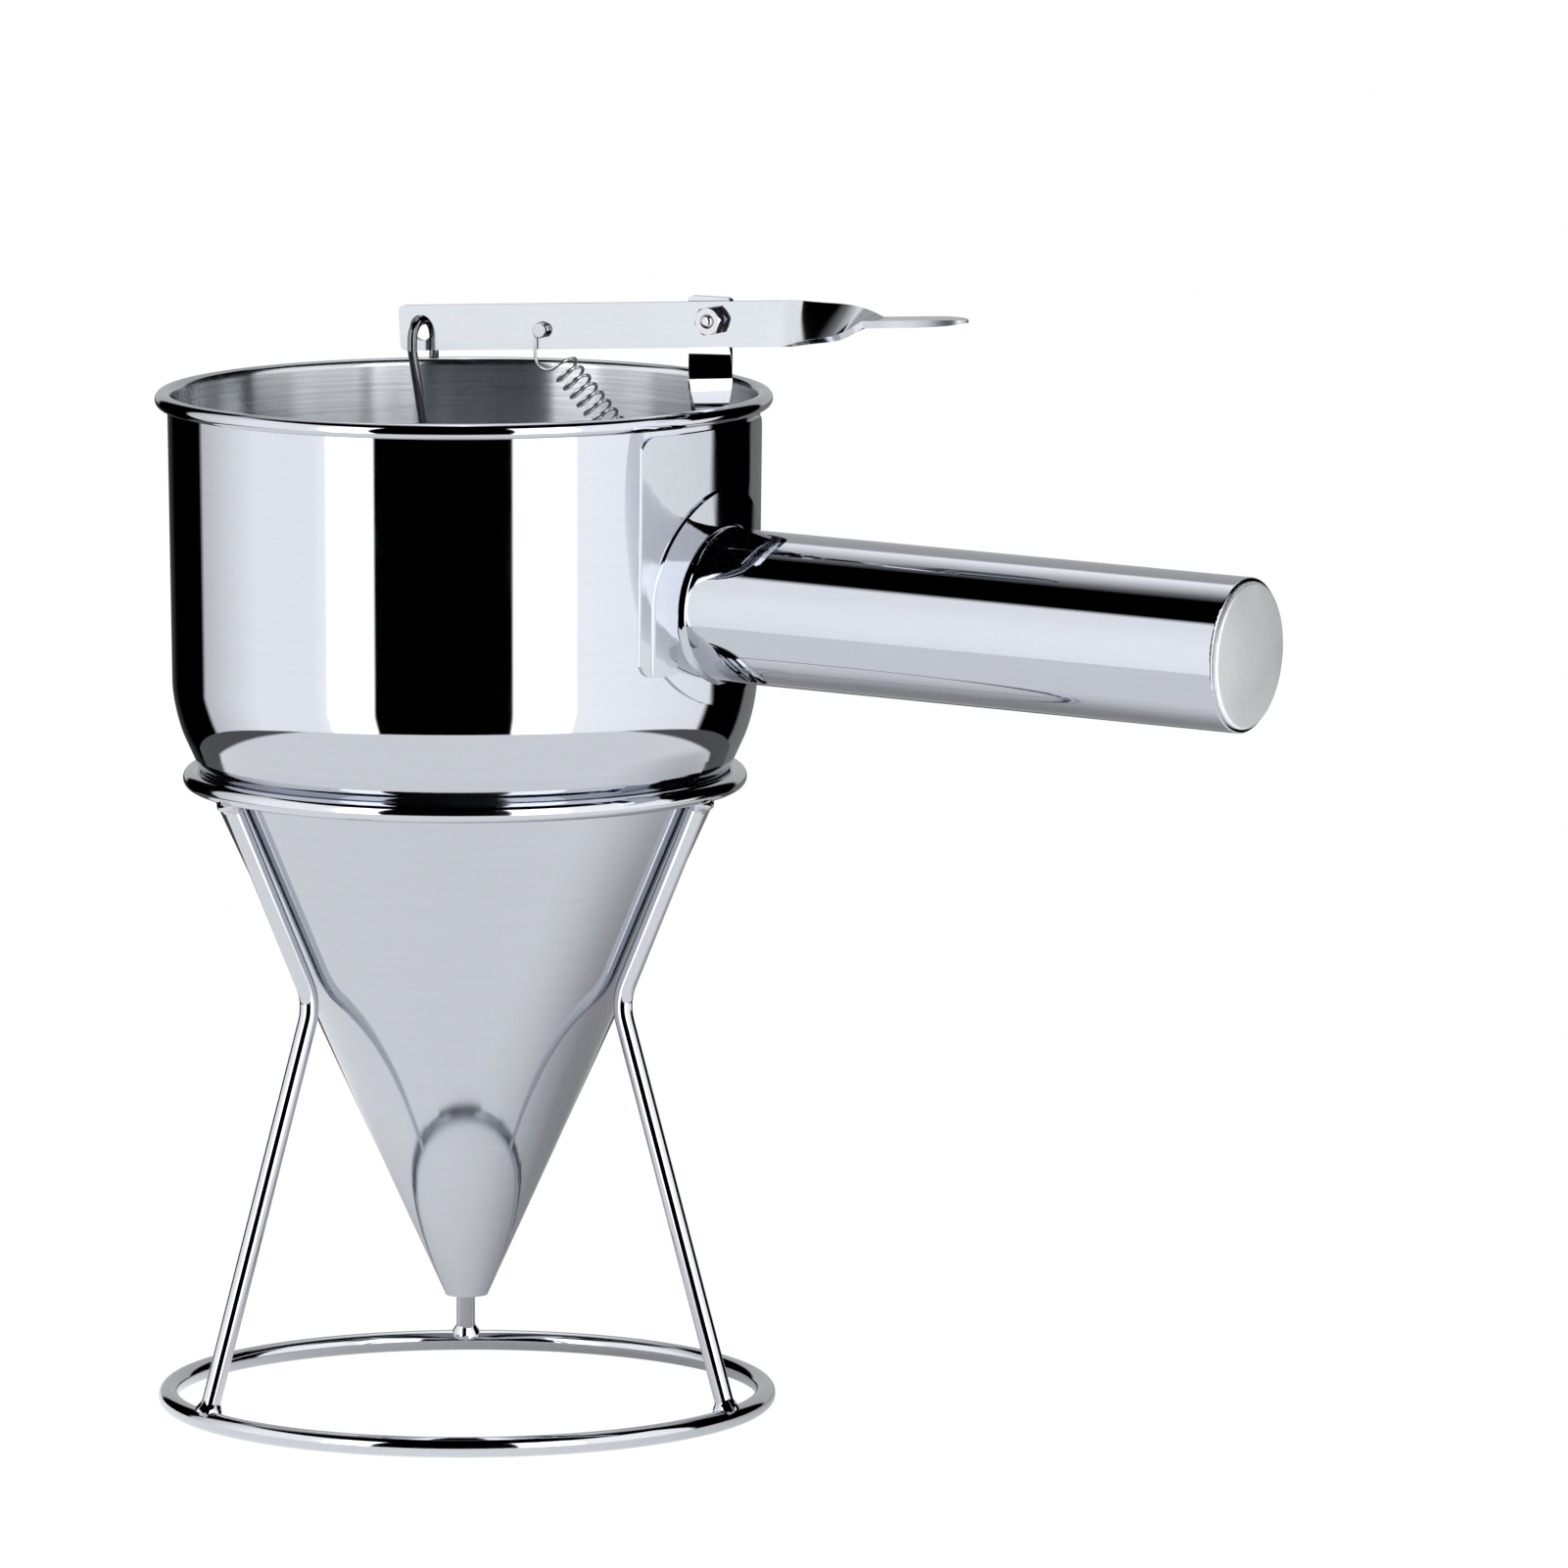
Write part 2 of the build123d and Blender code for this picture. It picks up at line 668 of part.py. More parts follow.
with BuildPart() as leg:
    add(bent_wire(
        [
            (base_ring_radius, 0, base_wire / 2),
            (leg_bend_reach, 0, leg_bend_height),
            (top_ring_radius, 0, top_ring_height),
        ],
        leg_bend_radius,
        stand_wire,
    ))
    add(stand_base_ring.part, mode=Mode.SUBTRACT)
    add(stand_top_ring.part, mode=Mode.SUBTRACT)

stand_legs = []
for number in range(leg_count):
    with BuildPart() as stand_leg:
        add(leg.part, rotation=(0, 0, first_leg_angle + number * 360 / leg_count))
    stand_leg.part.label = f"stand_leg_{number + 1}"
    stand_legs.append(stand_leg.part)

# ---- files ---------------------------------------------------------------------------------
pieces = [
    funnel_cup.part,
    funnel_cone.part,
    handle_flange.part,
    handle_plate.part,
    handle_tube.part,
    handle_cap.part,
    lever.part,
    lever_bracket.part,
    pivot_washer.part,
    pivot_bolt.part,
    pivot_nut.part,
    spring_pin.part,
    return_spring.part,
    plunger_plug.part,
    plunger_rod.part,
    stand_base_ring.part,
    stand_top_ring.part,
    *stand_legs,
]

os.makedirs("parts", exist_ok=True)
for piece in pieces:
    export_step(piece, f"parts/{piece.label}.step")
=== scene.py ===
from math import cos, pi, radians, sin, sqrt, tan

import bmesh
import bpy
from mathutils import Matrix, Vector, noise


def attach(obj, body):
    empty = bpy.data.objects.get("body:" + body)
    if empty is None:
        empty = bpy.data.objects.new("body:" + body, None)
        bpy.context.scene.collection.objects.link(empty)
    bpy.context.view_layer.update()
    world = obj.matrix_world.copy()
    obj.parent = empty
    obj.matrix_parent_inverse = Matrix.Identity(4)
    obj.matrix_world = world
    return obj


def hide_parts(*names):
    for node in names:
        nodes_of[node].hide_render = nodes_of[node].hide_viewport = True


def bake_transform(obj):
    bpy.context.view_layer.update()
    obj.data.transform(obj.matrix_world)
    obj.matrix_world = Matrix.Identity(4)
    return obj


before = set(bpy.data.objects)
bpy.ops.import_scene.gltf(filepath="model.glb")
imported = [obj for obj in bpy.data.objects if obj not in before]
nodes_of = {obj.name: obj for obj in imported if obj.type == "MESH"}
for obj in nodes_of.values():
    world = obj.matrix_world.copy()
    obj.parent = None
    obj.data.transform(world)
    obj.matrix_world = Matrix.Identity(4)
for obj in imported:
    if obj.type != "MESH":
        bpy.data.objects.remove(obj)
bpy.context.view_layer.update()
scene = bpy.context.scene


# ---- Camera -------------------------------------------------------------------------------
# A long lens three metres away, above the rim and looking down on it, turned so that the
# handle points to the right and comes forward.  Lengths are in metres, angles in degrees,
# the lens and its sensor in millimetres.
camera_azimuth = 30.0
camera_distance = 3.0
camera_height = 0.5519
camera_yaw = -1.279
camera_pitch = -7.971
focal_length = 331.1
sensor_width = 36.0
nearest_shown = 0.05
farthest_shown = 50.0

lens = bpy.data.cameras.new("camera")
lens.sensor_width = sensor_width
lens.lens = focal_length
lens.clip_start = nearest_shown
lens.clip_end = farthest_shown
camera = bpy.data.objects.new("camera", lens)
scene.collection.objects.link(camera)
camera.location = (
    camera_distance * sin(radians(camera_azimuth)),
    -camera_distance * cos(radians(camera_azimuth)),
    camera_height,
)
camera.rotation_euler = (radians(90 + camera_pitch), 0, radians(camera_azimuth + camera_yaw))
scene.camera = camera
scene.view_settings.view_transform = "Standard"


# ---- Studio -------------------------------------------------------------------------------
# White walls with two bright panels towards the camera, and three dark flags that polished
# steel shows as black bands: behind the camera, and at the back on the left and the right.
panel_strength = 2.6

# Stops are (degrees round from the camera, brightness), and 1 is the panels' own brightness.
wall_stops = [
    (-180, 0.20), (-160, 0.20), (-157, 0.0), (-126, 0.0), (-124, 0.30), (-90, 0.50),
    (-62, 0.50), (-55.9, 0.56), (-55.2, 1.0), (-36, 1.0), (-35.5, 0.0), (19, 0.0), (19.5, 1.0),
    (44.5, 1.0), (45, 0.55), (72, 0.52), (92, 0.48), (94, 0.0), (144, 0.0), (147, 0.20),
    (180, 0.20),
]

# Below the horizon the walls are dimmer at the back; low_start and low_full are in degrees up.
low_start = -1
low_full = -5
low_stops = [
    (-180, 0.04), (-157, 0.0), (-126, 0.0), (-124, 0.30), (-90, 0.50), (-62, 0.50),
    (-55.9, 0.56), (-55.2, 1.0), (-36, 1.0), (-35.5, 0.0), (19, 0.0), (19.5, 1.0), (44.5, 1.0),
    (45, 0.55), (72, 0.52), (110, 0.46), (113, 0.0), (144, 0.0), (147, 0.08), (180, 0.08),
]

# The ceiling takes over between these degrees up, and only its back part is lit.
ceiling_start = 42
ceiling_full = 46
ceiling_stops = [
    (-180, 0.60), (-170, 0.54), (-156, 0.34), (-135, 0.11), (-115, 0.0), (125, 0.0), (165, 0.42),
    (180, 0.60),
]

world = bpy.data.worlds.new("studio")
scene.world = world
world.use_nodes = True
tree = world.node_tree
tree.nodes.clear()


def feed(tree, socket, value):
    """Set a socket to a value, or link another node's output to it."""
    if isinstance(value, bpy.types.NodeSocket):
        tree.links.new(value, socket)
    else:
        socket.default_value = value


def math_node(tree, operation, *values):
    """A Math node over numbers or other nodes' outputs."""
    node = tree.nodes.new("ShaderNodeMath")
    node.operation = operation
    for socket, value in zip(node.inputs, values):
        feed(tree, socket, value)
    return node.outputs[0]


def range_node(tree, value, from_low, from_high, to_low=0.0, to_high=1.0):
    """The value's place between two limits, brought to between two others."""
    node = tree.nodes.new("ShaderNodeMapRange")
    node.inputs["From Min"].default_value = from_low
    node.inputs["From Max"].default_value = from_high
    node.inputs["To Min"].default_value = to_low
    node.inputs["To Max"].default_value = to_high
    tree.links.new(value, node.inputs["Value"])
    return node.outputs["Result"]


def mix_node(tree, share, first, second, blend="MIX"):
    """A mix of two colours; share is how much of the second one there is."""
    node = tree.nodes.new("ShaderNodeMix")
    node.data_type = "RGBA"
    node.blend_type = blend
    feed(tree, node.inputs["Factor"], share)
    feed(tree, node.inputs["A"], first)
    feed(tree, node.inputs["B"], second)
    return node.outputs["Result"]


def ramp_node(tree, factor, stops):
    """A ramp of greys over the factor; stops are (place from 0 to 1, brightness)."""
    node = tree.nodes.new("ShaderNodeValToRGB")
    elements = node.color_ramp.elements
    while len(elements) > 1:
        elements.remove(elements[-1])
    for number, (position, grey) in enumerate(stops):
        element = elements[0] if number == 0 else elements.new(position)
        element.position = position
        element.color = (grey, grey, grey, 1.0)
    tree.links.new(factor, node.inputs["Fac"])
    return node.outputs["Color"]


def ramp_round(tree, factor, stops):
    """A ramp whose stops are given in degrees, from -180 to 180, all the way round."""
    return ramp_node(tree, factor, [((degrees + 180) / 360, grey) for degrees, grey in stops])


def turned_to_camera(tree, vector):
    """A vector turned so that -Y points at the camera."""
    node = tree.nodes.new("ShaderNodeVectorRotate")
    node.rotation_type = "Z_AXIS"
    node.inputs["Angle"].default_value = -radians(camera_azimuth)
    tree.links.new(vector, node.inputs["Vector"])
    return node.outputs["Vector"]


direction = tree.nodes.new("ShaderNodeTexCoord")
parts = tree.nodes.new("ShaderNodeSeparateXYZ")
tree.links.new(turned_to_camera(tree, direction.outputs["Generated"]), parts.inputs["Vector"])
ahead = math_node(tree, "MULTIPLY", parts.outputs["Y"], -1.0)
angle_round = math_node(tree, "ARCTAN2", parts.outputs["X"], ahead)
place_round = math_node(tree, "MULTIPLY_ADD", angle_round, 0.5 / pi, 0.5)
angle_up = math_node(tree, "ARCSINE", parts.outputs["Z"])
walls = mix_node(
    tree, range_node(tree, angle_up, radians(low_start), radians(low_full)),
    ramp_round(tree, place_round, wall_stops), ramp_round(tree, place_round, low_stops),
)
room = mix_node(
    tree, range_node(tree, angle_up, radians(ceiling_start), radians(ceiling_full)),
    walls, ramp_round(tree, place_round, ceiling_stops),
)
studio_light = tree.nodes.new("ShaderNodeBackground")
studio_light.inputs["Strength"].default_value = panel_strength
tree.links.new(room, studio_light.inputs["Color"])
backdrop = tree.nodes.new("ShaderNodeBackground")
backdrop.inputs["Color"].default_value = (1, 1, 1, 1)
backdrop.inputs["Strength"].default_value = 1.0
light_path = tree.nodes.new("ShaderNodeLightPath")
shown = tree.nodes.new("ShaderNodeMixShader")
tree.links.new(light_path.outputs["Is Camera Ray"], shown.inputs["Fac"])
tree.links.new(studio_light.outputs[0], shown.inputs[1])
tree.links.new(backdrop.outputs[0], shown.inputs[2])
world_output = tree.nodes.new("ShaderNodeOutputWorld")
tree.links.new(shown.outputs[0], world_output.inputs["Surface"])


# ---- Floor --------------------------------------------------------------------------------
# A round white table top.  It renders as white as the backdrop to the camera and keeps part
# of the object's shadow.  In the steel it is bright, dim in the shade under the handle, and
# dark towards its rim.
table_radius = 0.40
table_back = 0.03
table_facets = 128
table_colour = (0.9, 0.9, 0.9, 1)
table_glow = 1.16
table_own_light = 0.8

# A shade is its centre and stops of (distance from it over shade_reach, brightness).
shade_reach = 0.44
shades = [
    ((0.09, 0.12, 0.0), [(0.0, 0.25), (0.2, 0.32), (0.29, 0.5), (0.41, 0.88), (0.47, 1.0)]),
    ((0.0, -0.08, 0.0), [(0.80, 1.0), (0.83, 0.03)]),
]

table = bmesh.new()
bmesh.ops.create_circle(table, cap_ends=True, radius=table_radius, segments=table_facets)
away_from_camera = Vector((-sin(radians(camera_azimuth)), cos(radians(camera_azimuth)), 0))
bmesh.ops.translate(table, verts=table.verts, vec=away_from_camera * table_back)
floor_data = bpy.data.meshes.new("floor")
table.to_mesh(floor_data)
table.free()
floor = bpy.data.objects.new("floor", floor_data)
scene.collection.objects.link(floor)

floor_white = bpy.data.materials.new("floor_white")
floor_white.use_nodes = True
tree = floor_white.node_tree
tree.nodes.clear()
lit = tree.nodes.new("ShaderNodeBsdfDiffuse")
lit.inputs["Color"].default_value = table_colour
coordinates = tree.nodes.new("ShaderNodeTexCoord")
spot = turned_to_camera(tree, coordinates.outputs["Object"])
shade_tones = []
for centre, stops in shades:
    away = tree.nodes.new("ShaderNodeVectorMath")
    away.operation = "DISTANCE"
    away.inputs[1].default_value = centre
    tree.links.new(spot, away.inputs[0])
    share_of_reach = math_node(tree, "DIVIDE", away.outputs["Value"], shade_reach)
    shade_tones.append(ramp_node(tree, share_of_reach, stops))
shaded = mix_node(tree, 1.0, *shade_tones, blend="MULTIPLY")
light_path = tree.nodes.new("ShaderNodeLightPath")
glow = tree.nodes.new("ShaderNodeEmission")
glow.inputs["Strength"].default_value = table_glow
glow_colour = mix_node(tree, light_path.outputs["Is Glossy Ray"], (1, 1, 1, 1), shaded)
tree.links.new(glow_colour, glow.inputs["Color"])
looked_at = math_node(
    tree, "MAXIMUM", light_path.outputs["Is Camera Ray"], light_path.outputs["Is Glossy Ray"]
)
surface = tree.nodes.new("ShaderNodeMixShader")
tree.links.new(math_node(tree, "MULTIPLY", looked_at, table_own_light), surface.inputs["Fac"])
tree.links.new(lit.outputs[0], surface.inputs[1])
tree.links.new(glow.outputs[0], surface.inputs[2])
floor_output = tree.nodes.new("ShaderNodeOutputMaterial")
tree.links.new(surface.outputs[0], floor_output.inputs["Surface"])
floor_data.materials.append(floor_white)


# ---- Funnel cup ---------------------------------------------------------------------------
# The cup is spun from stainless sheet, its rim rolled outward into a bead.  Outside it is
# polished to a mirror; inside it keeps the fine level lines of the brushing wheel.
sheet = 0.0008
nozzle_height = 0.0233
nozzle_radius = 0.0044
cone_half_angle = radians(24.5)
cone_slope = tan(cone_half_angle)
cone_slant = cos(cone_half_angle)
cup_radius = 0.06125
cup_height = 0.0672
cup_flare = 0.00085 / cup_height
corner_height = nozzle_height + (cup_radius - nozzle_radius) / cone_slope
rim_height = corner_height + cup_height
seam_height = corner_height - 0.0076
shoulder_run = 0.0063
shoulder_facets = 14
rim_bead = 0.0034
curl_height = rim_height - rim_bead / 2
curl_sweep = radians(240)
curl_facets = 20
cup_facets = 224
facing_in = -0.1
doubles_within = 1e-7
grain_detail = 4.0
grain_roughness = 0.65
patches_per_metre = 70.0
patch_detail = 3.0
patch_low = 0.3
patch_high = 0.7


def new_piece(name, mesh, body, materials, smooth=35.0):
    """Make an object of the mesh, with creases sharper than smooth degrees kept.  It rides on
    the body, unless that is None."""
    data = bpy.data.meshes.new(name)
    for face in mesh.faces:
        face.smooth = True
    for edge in mesh.edges:
        edge.smooth = len(edge.link_faces) == 2 and edge.calc_face_angle(0.0) < radians(smooth)
    mesh.to_mesh(data)
    mesh.free()
    piece = bpy.data.objects.new(name, data)
    scene.collection.objects.link(piece)
    for material in materials:
        data.materials.append(material)
    if body:
        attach(piece, body)
    return piece


def steel(name, colour, roughness, lines, depth, cloud=0.25, streak=0.05, brushed=0.0, turn=0.0):
    """Steel with grinding lines.  lines is how close they lie along X, Y and Z, in lines a
    metre; depth is their height, streak their contrast; cloud is how much the gloss varies;
    brushed and turn are how much longer its highlights are one way, and which way."""
    material = bpy.data.materials.new(name)
    material.use_nodes = True
    tree = material.node_tree
    shader = tree.nodes["Principled BSDF"]
    shader.inputs["Metallic"].default_value = 1.0
    shader.inputs["Anisotropic"].default_value = brushed
    shader.inputs["Anisotropic Rotation"].default_value = turn
    coordinates = tree.nodes.new("ShaderNodeTexCoord")
    stretched = tree.nodes.new("ShaderNodeMapping")
    stretched.inputs["Scale"].default_value = lines
    tree.links.new(coordinates.outputs["Object"], stretched.inputs["Vector"])
    grain = tree.nodes.new("ShaderNodeTexNoise")
    grain.inputs["Scale"].default_value = 1.0
    grain.inputs["Detail"].default_value = grain_detail
    grain.inputs["Roughness"].default_value = grain_roughness
    tree.links.new(stretched.outputs["Vector"], grain.inputs["Vector"])
    patches = tree.nodes.new("ShaderNodeTexNoise")
    patches.inputs["Scale"].default_value = patches_per_metre
    patches.inputs["Detail"].default_value = patch_detail
    tree.links.new(coordinates.outputs["Object"], patches.inputs["Vector"])
    darker = (*[channel * (1 - streak) for channel in colour], 1)
    lighter = (*[channel * (1 + streak) for channel in colour], 1)
    tone = mix_node(tree, grain.outputs["Fac"], darker, lighter)
    tree.links.new(tone, shader.inputs["Base Color"])
    gloss = range_node(
        tree, patches.outputs["Fac"], patch_low, patch_high,
        roughness * (1 - cloud), roughness * (1 + cloud),
    )
    tree.links.new(gloss, shader.inputs["Roughness"])
    relief = tree.nodes.new("ShaderNodeBump")
    relief.inputs["Strength"].default_value = 1.0
    relief.inputs["Distance"].default_value = depth
    tree.links.new(grain.outputs["Fac"], relief.inputs["Height"])
    tree.links.new(relief.outputs["Normal"], shader.inputs["Normal"])
    return material


def round_axis_tangent(material):
    """Let the brushing run level round the funnel's axis."""
    tree = material.node_tree
    tangent = tree.nodes.new("ShaderNodeTangent")
    tangent.direction_type = "RADIAL"
    tangent.axis = "Z"
    tree.links.new(tangent.outputs["Tangent"], tree.nodes["Principled BSDF"].inputs["Tangent"])


mirror_steel = steel("mirror_steel", (0.56, 0.58, 0.63), 0.03, (30, 30, 2500), 4e-8, 0.3)
brushed_steel = steel(
    "brushed_inside", (0.68, 0.70, 0.73), 0.22, (30, 30, 1800), 1e-6, 0.12, streak=0.35,
    brushed=1.0, turn=0.25,
)
round_axis_tangent(brushed_steel)


def cup_reach(height, grow=0.0):
    """Distance from the axis to the cup's outer face, moved outward by grow."""
    return cup_radius + (height - corner_height) * cup_flare + grow


def cone_reach(height, grow=0.0):
    """Distance from the axis to the cone's outer face, moved outward by grow."""
    return nozzle_radius + (height - nozzle_height) * cone_slope + grow / cone_slant


def wall_line(mesh, grow):
    """One face of the cup's sheet, from the seam up to the start of the rolled rim."""
    drop = grow * (1 - 1 / cone_slant) / cone_slope
    points = [
        mesh.verts.new((cone_reach(seam_height, grow), 0, seam_height)),
        mesh.verts.new((cup_reach(corner_height, grow), 0, corner_height + drop)),
        mesh.verts.new((cup_reach(curl_height, grow), 0, curl_height)),
    ]
    for below, above in zip(points, points[1:]):
        mesh.edges.new((below, above))
    return points


cup = bmesh.new()
outside = wall_line(cup, 0.0)
inside = wall_line(cup, -sheet)
curl_centre = (cup_reach(curl_height) + rim_bead / 2 - sheet, 0, curl_height)
curl_ends = []
for start in (outside[2], inside[2]):
    rolled = bmesh.ops.spin(
        cup, geom=[start], cent=curl_centre, axis=(0, 1, 0), angle=curl_sweep, steps=curl_facets
    )
    curl_ends.append(rolled["geom_last"][0])
cup.edges.new(curl_ends)
cup.edges.new((outside[0], inside[0]))
for corner in (outside[1], inside[1]):
    bmesh.ops.bevel(
        cup, geom=[corner], offset=shoulder_run, offset_type="OFFSET", affect="VERTICES",
        segments=shoulder_facets, profile=0.5, material=-1,
    )
bmesh.ops.spin(
    cup, geom=cup.verts[:] + cup.edges[:], cent=(0, 0, 0), axis=(0, 0, 1), angle=radians(360),
    steps=cup_facets, use_merge=True,
)
bmesh.ops.remove_doubles(cup, verts=cup.verts, dist=doubles_within)
bmesh.ops.recalc_face_normals(cup, faces=cup.faces)
for face in cup.faces:
    middle = face.calc_center_median()
    outward = Vector((middle.x, middle.y, 0)).normalized().dot(face.normal)
    if outward < facing_in and middle.xy.length < cup_reach(middle.z) - sheet / 2:
        face.material_index = 1
funnel_cup = new_piece("cup", cup, "funnel", [mirror_steel, brushed_steel])
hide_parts("funnel_cup")


# ---- Funnel cone --------------------------------------------------------------------------
# The cone is rolled from the same sheet, welded to the cup under the shoulder and ground
# smooth, and polished a little less brightly than the cup.
cone_steel = steel("cone_polish", (0.55, 0.57, 0.62), 0.075, (40, 40, 3000), 1.0e-7, 0.3)
nodes_of["funnel_cone"].data.materials[0] = cone_steel


# ---- Flange and retaining plate -----------------------------------------------------------
# Two polished pressings hold the handle: a flange that follows the cup, and a plate over it
# with a raised arch, spot welded to the cup.
plate_edge = 0.00012

# The plate's faces lie this far over the cup's.  A point within plate_fit of one is put on it.
plate_levels = (0.0, 0.0006, 0.0008, 0.0014)
plate_fit = 0.00008

plate_half_sweep = 26
plate_facet = 2
flat_bevel = 20.0
solid_doubles_within = 2e-6
flat_within = radians(0.4)
sharp_edge = radians(30)


def merged_copy(node):
    """A mesh with the shape of a node's solid."""
    mesh = bmesh.new()
    mesh.from_mesh(nodes_of[node].data)
    bmesh.ops.remove_doubles(mesh, verts=mesh.verts, dist=solid_doubles_within)
    return mesh


def cut_across(mesh, point, normal, **clearing):
    """Cut all of a mesh by the plane through a point."""
    everything = mesh.verts[:] + mesh.edges[:] + mesh.faces[:]
    bmesh.ops.bisect_plane(mesh, geom=everything, plane_co=point, plane_no=normal, **clearing)


def round_edges(mesh, width):
    """Make flat faces whole and round off the sharp edges between them."""
    bmesh.ops.dissolve_limit(mesh, angle_limit=flat_within, verts=mesh.verts, edges=mesh.edges)
    sharp = [
        edge for edge in mesh.edges
        if len(edge.link_faces) == 2 and edge.calc_face_angle(0.0) > sharp_edge
    ]
    bmesh.ops.bevel(
        mesh, geom=sharp, offset=width, offset_type="OFFSET", affect="EDGES", segments=2,
        profile=0.5, material=-1, clamp_overlap=True,
    )


nodes_of["handle_flange"].data.materials[0] = mirror_steel
plate_steel = steel("plate_polish", (0.49, 0.51, 0.55), 0.045, (300, 300, 600), 1.0e-7, 0.4)
plate = merged_copy("handle_plate")
for degrees in range(-plate_half_sweep, plate_half_sweep + 1, plate_facet):
    cut_across(plate, (0, 0, 0), (-sin(radians(degrees)), cos(radians(degrees)), 0))
for vert in plate.verts:
    reach = vert.co.xy.length
    level = min(plate_levels, key=lambda grow: abs(cup_reach(vert.co.z, grow) - reach))
    fitted = cup_reach(vert.co.z, level)
    if abs(fitted - reach) < plate_fit:
        vert.co.xy *= fitted / reach
round_edges(plate, plate_edge)
plate_piece = new_piece(
    "plate", plate, "funnel", [plate_steel], smooth=flat_bevel
)
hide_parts("handle_plate")


# ---- Handle tube --------------------------------------------------------------------------
# A welded steel tube, mirror-polished along its length, cut at its root to sit on the flange.
# A small polished weld runs round its root.
handle_droop = radians(1.45)
handle_height = rim_height - 0.0399
handle_reach = cup_radius + 0.1226
handle_facets = 96
tube_radius = 0.016
flange_thickness = 0.0008
root_reach = cup_reach(handle_height) + flange_thickness

# The weld's section, as (distance out from the tube, height over the flange).
weld_bite = 0.0006
weld_rise = 0.0016
weld_spread = 0.0007
weld_lip = 0.0003
weld_hollow = [(0.00002, weld_rise), (0.0001, 0.0011), (0.0003, 0.0007), (weld_spread, weld_lip)]
weld_profile = [
    (-weld_bite, weld_rise), *weld_hollow, (weld_spread, -weld_bite), (-weld_bite, -weld_bite),
]

tube_steel = steel("tube_polish", (0.52, 0.54, 0.59), 0.035, (60, 1200, 1200), 5e-8, 0.3)
nodes_of["handle_tube"].data.materials[0] = tube_steel
handle_place = Matrix.Translation((0, 0, handle_height)) @ Matrix.Rotation(
    pi / 2 + handle_droop, 4, "Y"
)


def spun_ring(mesh, profile, place, facets):
    """Spin a closed profile of (distance from the axis, height) and put it in its place."""
    points = [mesh.verts.new((reach, 0, height)) for reach, height in profile]
    edges = [mesh.edges.new(pair) for pair in zip(points, points[1:] + points[:1])]
    known = set(mesh.verts) - set(points)
    bmesh.ops.spin(
        mesh, geom=points + edges, cent=(0, 0, 0), axis=(0, 0, 1), angle=radians(360),
        steps=facets, use_merge=True,
    )
    ring = [vert for vert in mesh.verts if vert not in known]
    bmesh.ops.transform(mesh, matrix=place, verts=ring)
    return ring


root_weld = bmesh.new()
weld_line = [(tube_radius + out, root_reach + height) for out, height in weld_profile]
for vert in spun_ring(root_weld, weld_line, handle_place, handle_facets):
    vert.co.x += sqrt(root_reach**2 - vert.co.y**2) - root_reach
bmesh.ops.recalc_face_normals(root_weld, faces=root_weld.faces)
new_piece("root_weld", root_weld, "funnel", [mirror_steel], smooth=50)


# ---- End cap ------------------------------------------------------------------------------
# A shallow dome of satin steel, pressed from sheet with a flat crown and a short skirt, and
# pushed into the end of the tube.
cap_radius = 0.01515
cap_rise = 0.0015
cap_edge = 0.0008
cap_skirt = 0.006
cap_crown = 0.0075
cap_dome_run = 0.0069
cap_dome_facets = 16
cap_round = 0.0006
cap_round_facets = 5
cap_steel = steel("cap_satin", (0.92, 0.93, 0.95), 0.56, (900, 900, 900), 2e-6, 0.06)

cap = bmesh.new()
cap_profile = [
    (0, cap_rise), (cap_crown, cap_rise), (cap_radius, cap_edge), (cap_radius, -cap_skirt),
    (cap_radius - sheet, -cap_skirt), (cap_radius - sheet, cap_edge - sheet),
    (0, cap_rise - sheet),
]
cap_points = [cap.verts.new((reach, 0, handle_reach + height)) for reach, height in cap_profile]
for pair in zip(cap_points, cap_points[1:]):
    cap.edges.new(pair)
cap_rounds = [
    (cap_points[2], cap_round, cap_round_facets), (cap_points[1], cap_dome_run, cap_dome_facets),
]
for corner, run, facets in cap_rounds:
    bmesh.ops.bevel(
        cap, geom=[corner], offset=run, offset_type="OFFSET", affect="VERTICES",
        segments=facets, profile=0.5, material=-1,
    )
bmesh.ops.spin(
    cap, geom=cap.verts[:] + cap.edges[:], cent=(0, 0, 0), axis=(0, 0, 1), angle=radians(360),
    steps=handle_facets, use_merge=True,
)
bmesh.ops.remove_doubles(cap, verts=cap.verts, dist=doubles_within)
bmesh.ops.recalc_face_normals(cap, faces=cap.faces)
bmesh.ops.transform(cap, matrix=handle_place, verts=cap.verts)
cap_piece = new_piece("end_cap", cap, "funnel", [cap_steel], smooth=40)
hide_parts("handle_cap")


# ---- Lever --------------------------------------------------------------------------------
# A strip of bright steel, drilled for the plunger's hook, the spring pin and the pivot, and
# twisted a quarter turn into a flat thumb pad with a rounded tip.
pivot = Vector((0.0611, -0.0021, 0.2332))
lever_slope = radians(3.5)
lever_sag = 0.00085
twist_start = 0.0153
twist_length = 0.0218
twist_steps = 40
twist_bite = 0.6
pad_length = 0.0218
pad_tip = 0.011
tip_steps = 12
tip_narrowest = 0.05
tip_thinness = 0.3
edge_facing = 0.6
strip_edge = 0.0002
strip_steel = steel("strip_polish", (0.54, 0.56, 0.60), 0.09, (150, 2000, 2000), 4e-7, 0.35)
sheared_steel = steel("sheared_edge", (0.42, 0.44, 0.48), 0.42, (2000, 2000, 150), 4e-7, 0.35)


def open_rim(mesh):
    """The edges round a mesh's open ends."""
    return [edge for edge in mesh.edges if len(edge.link_faces) == 1]


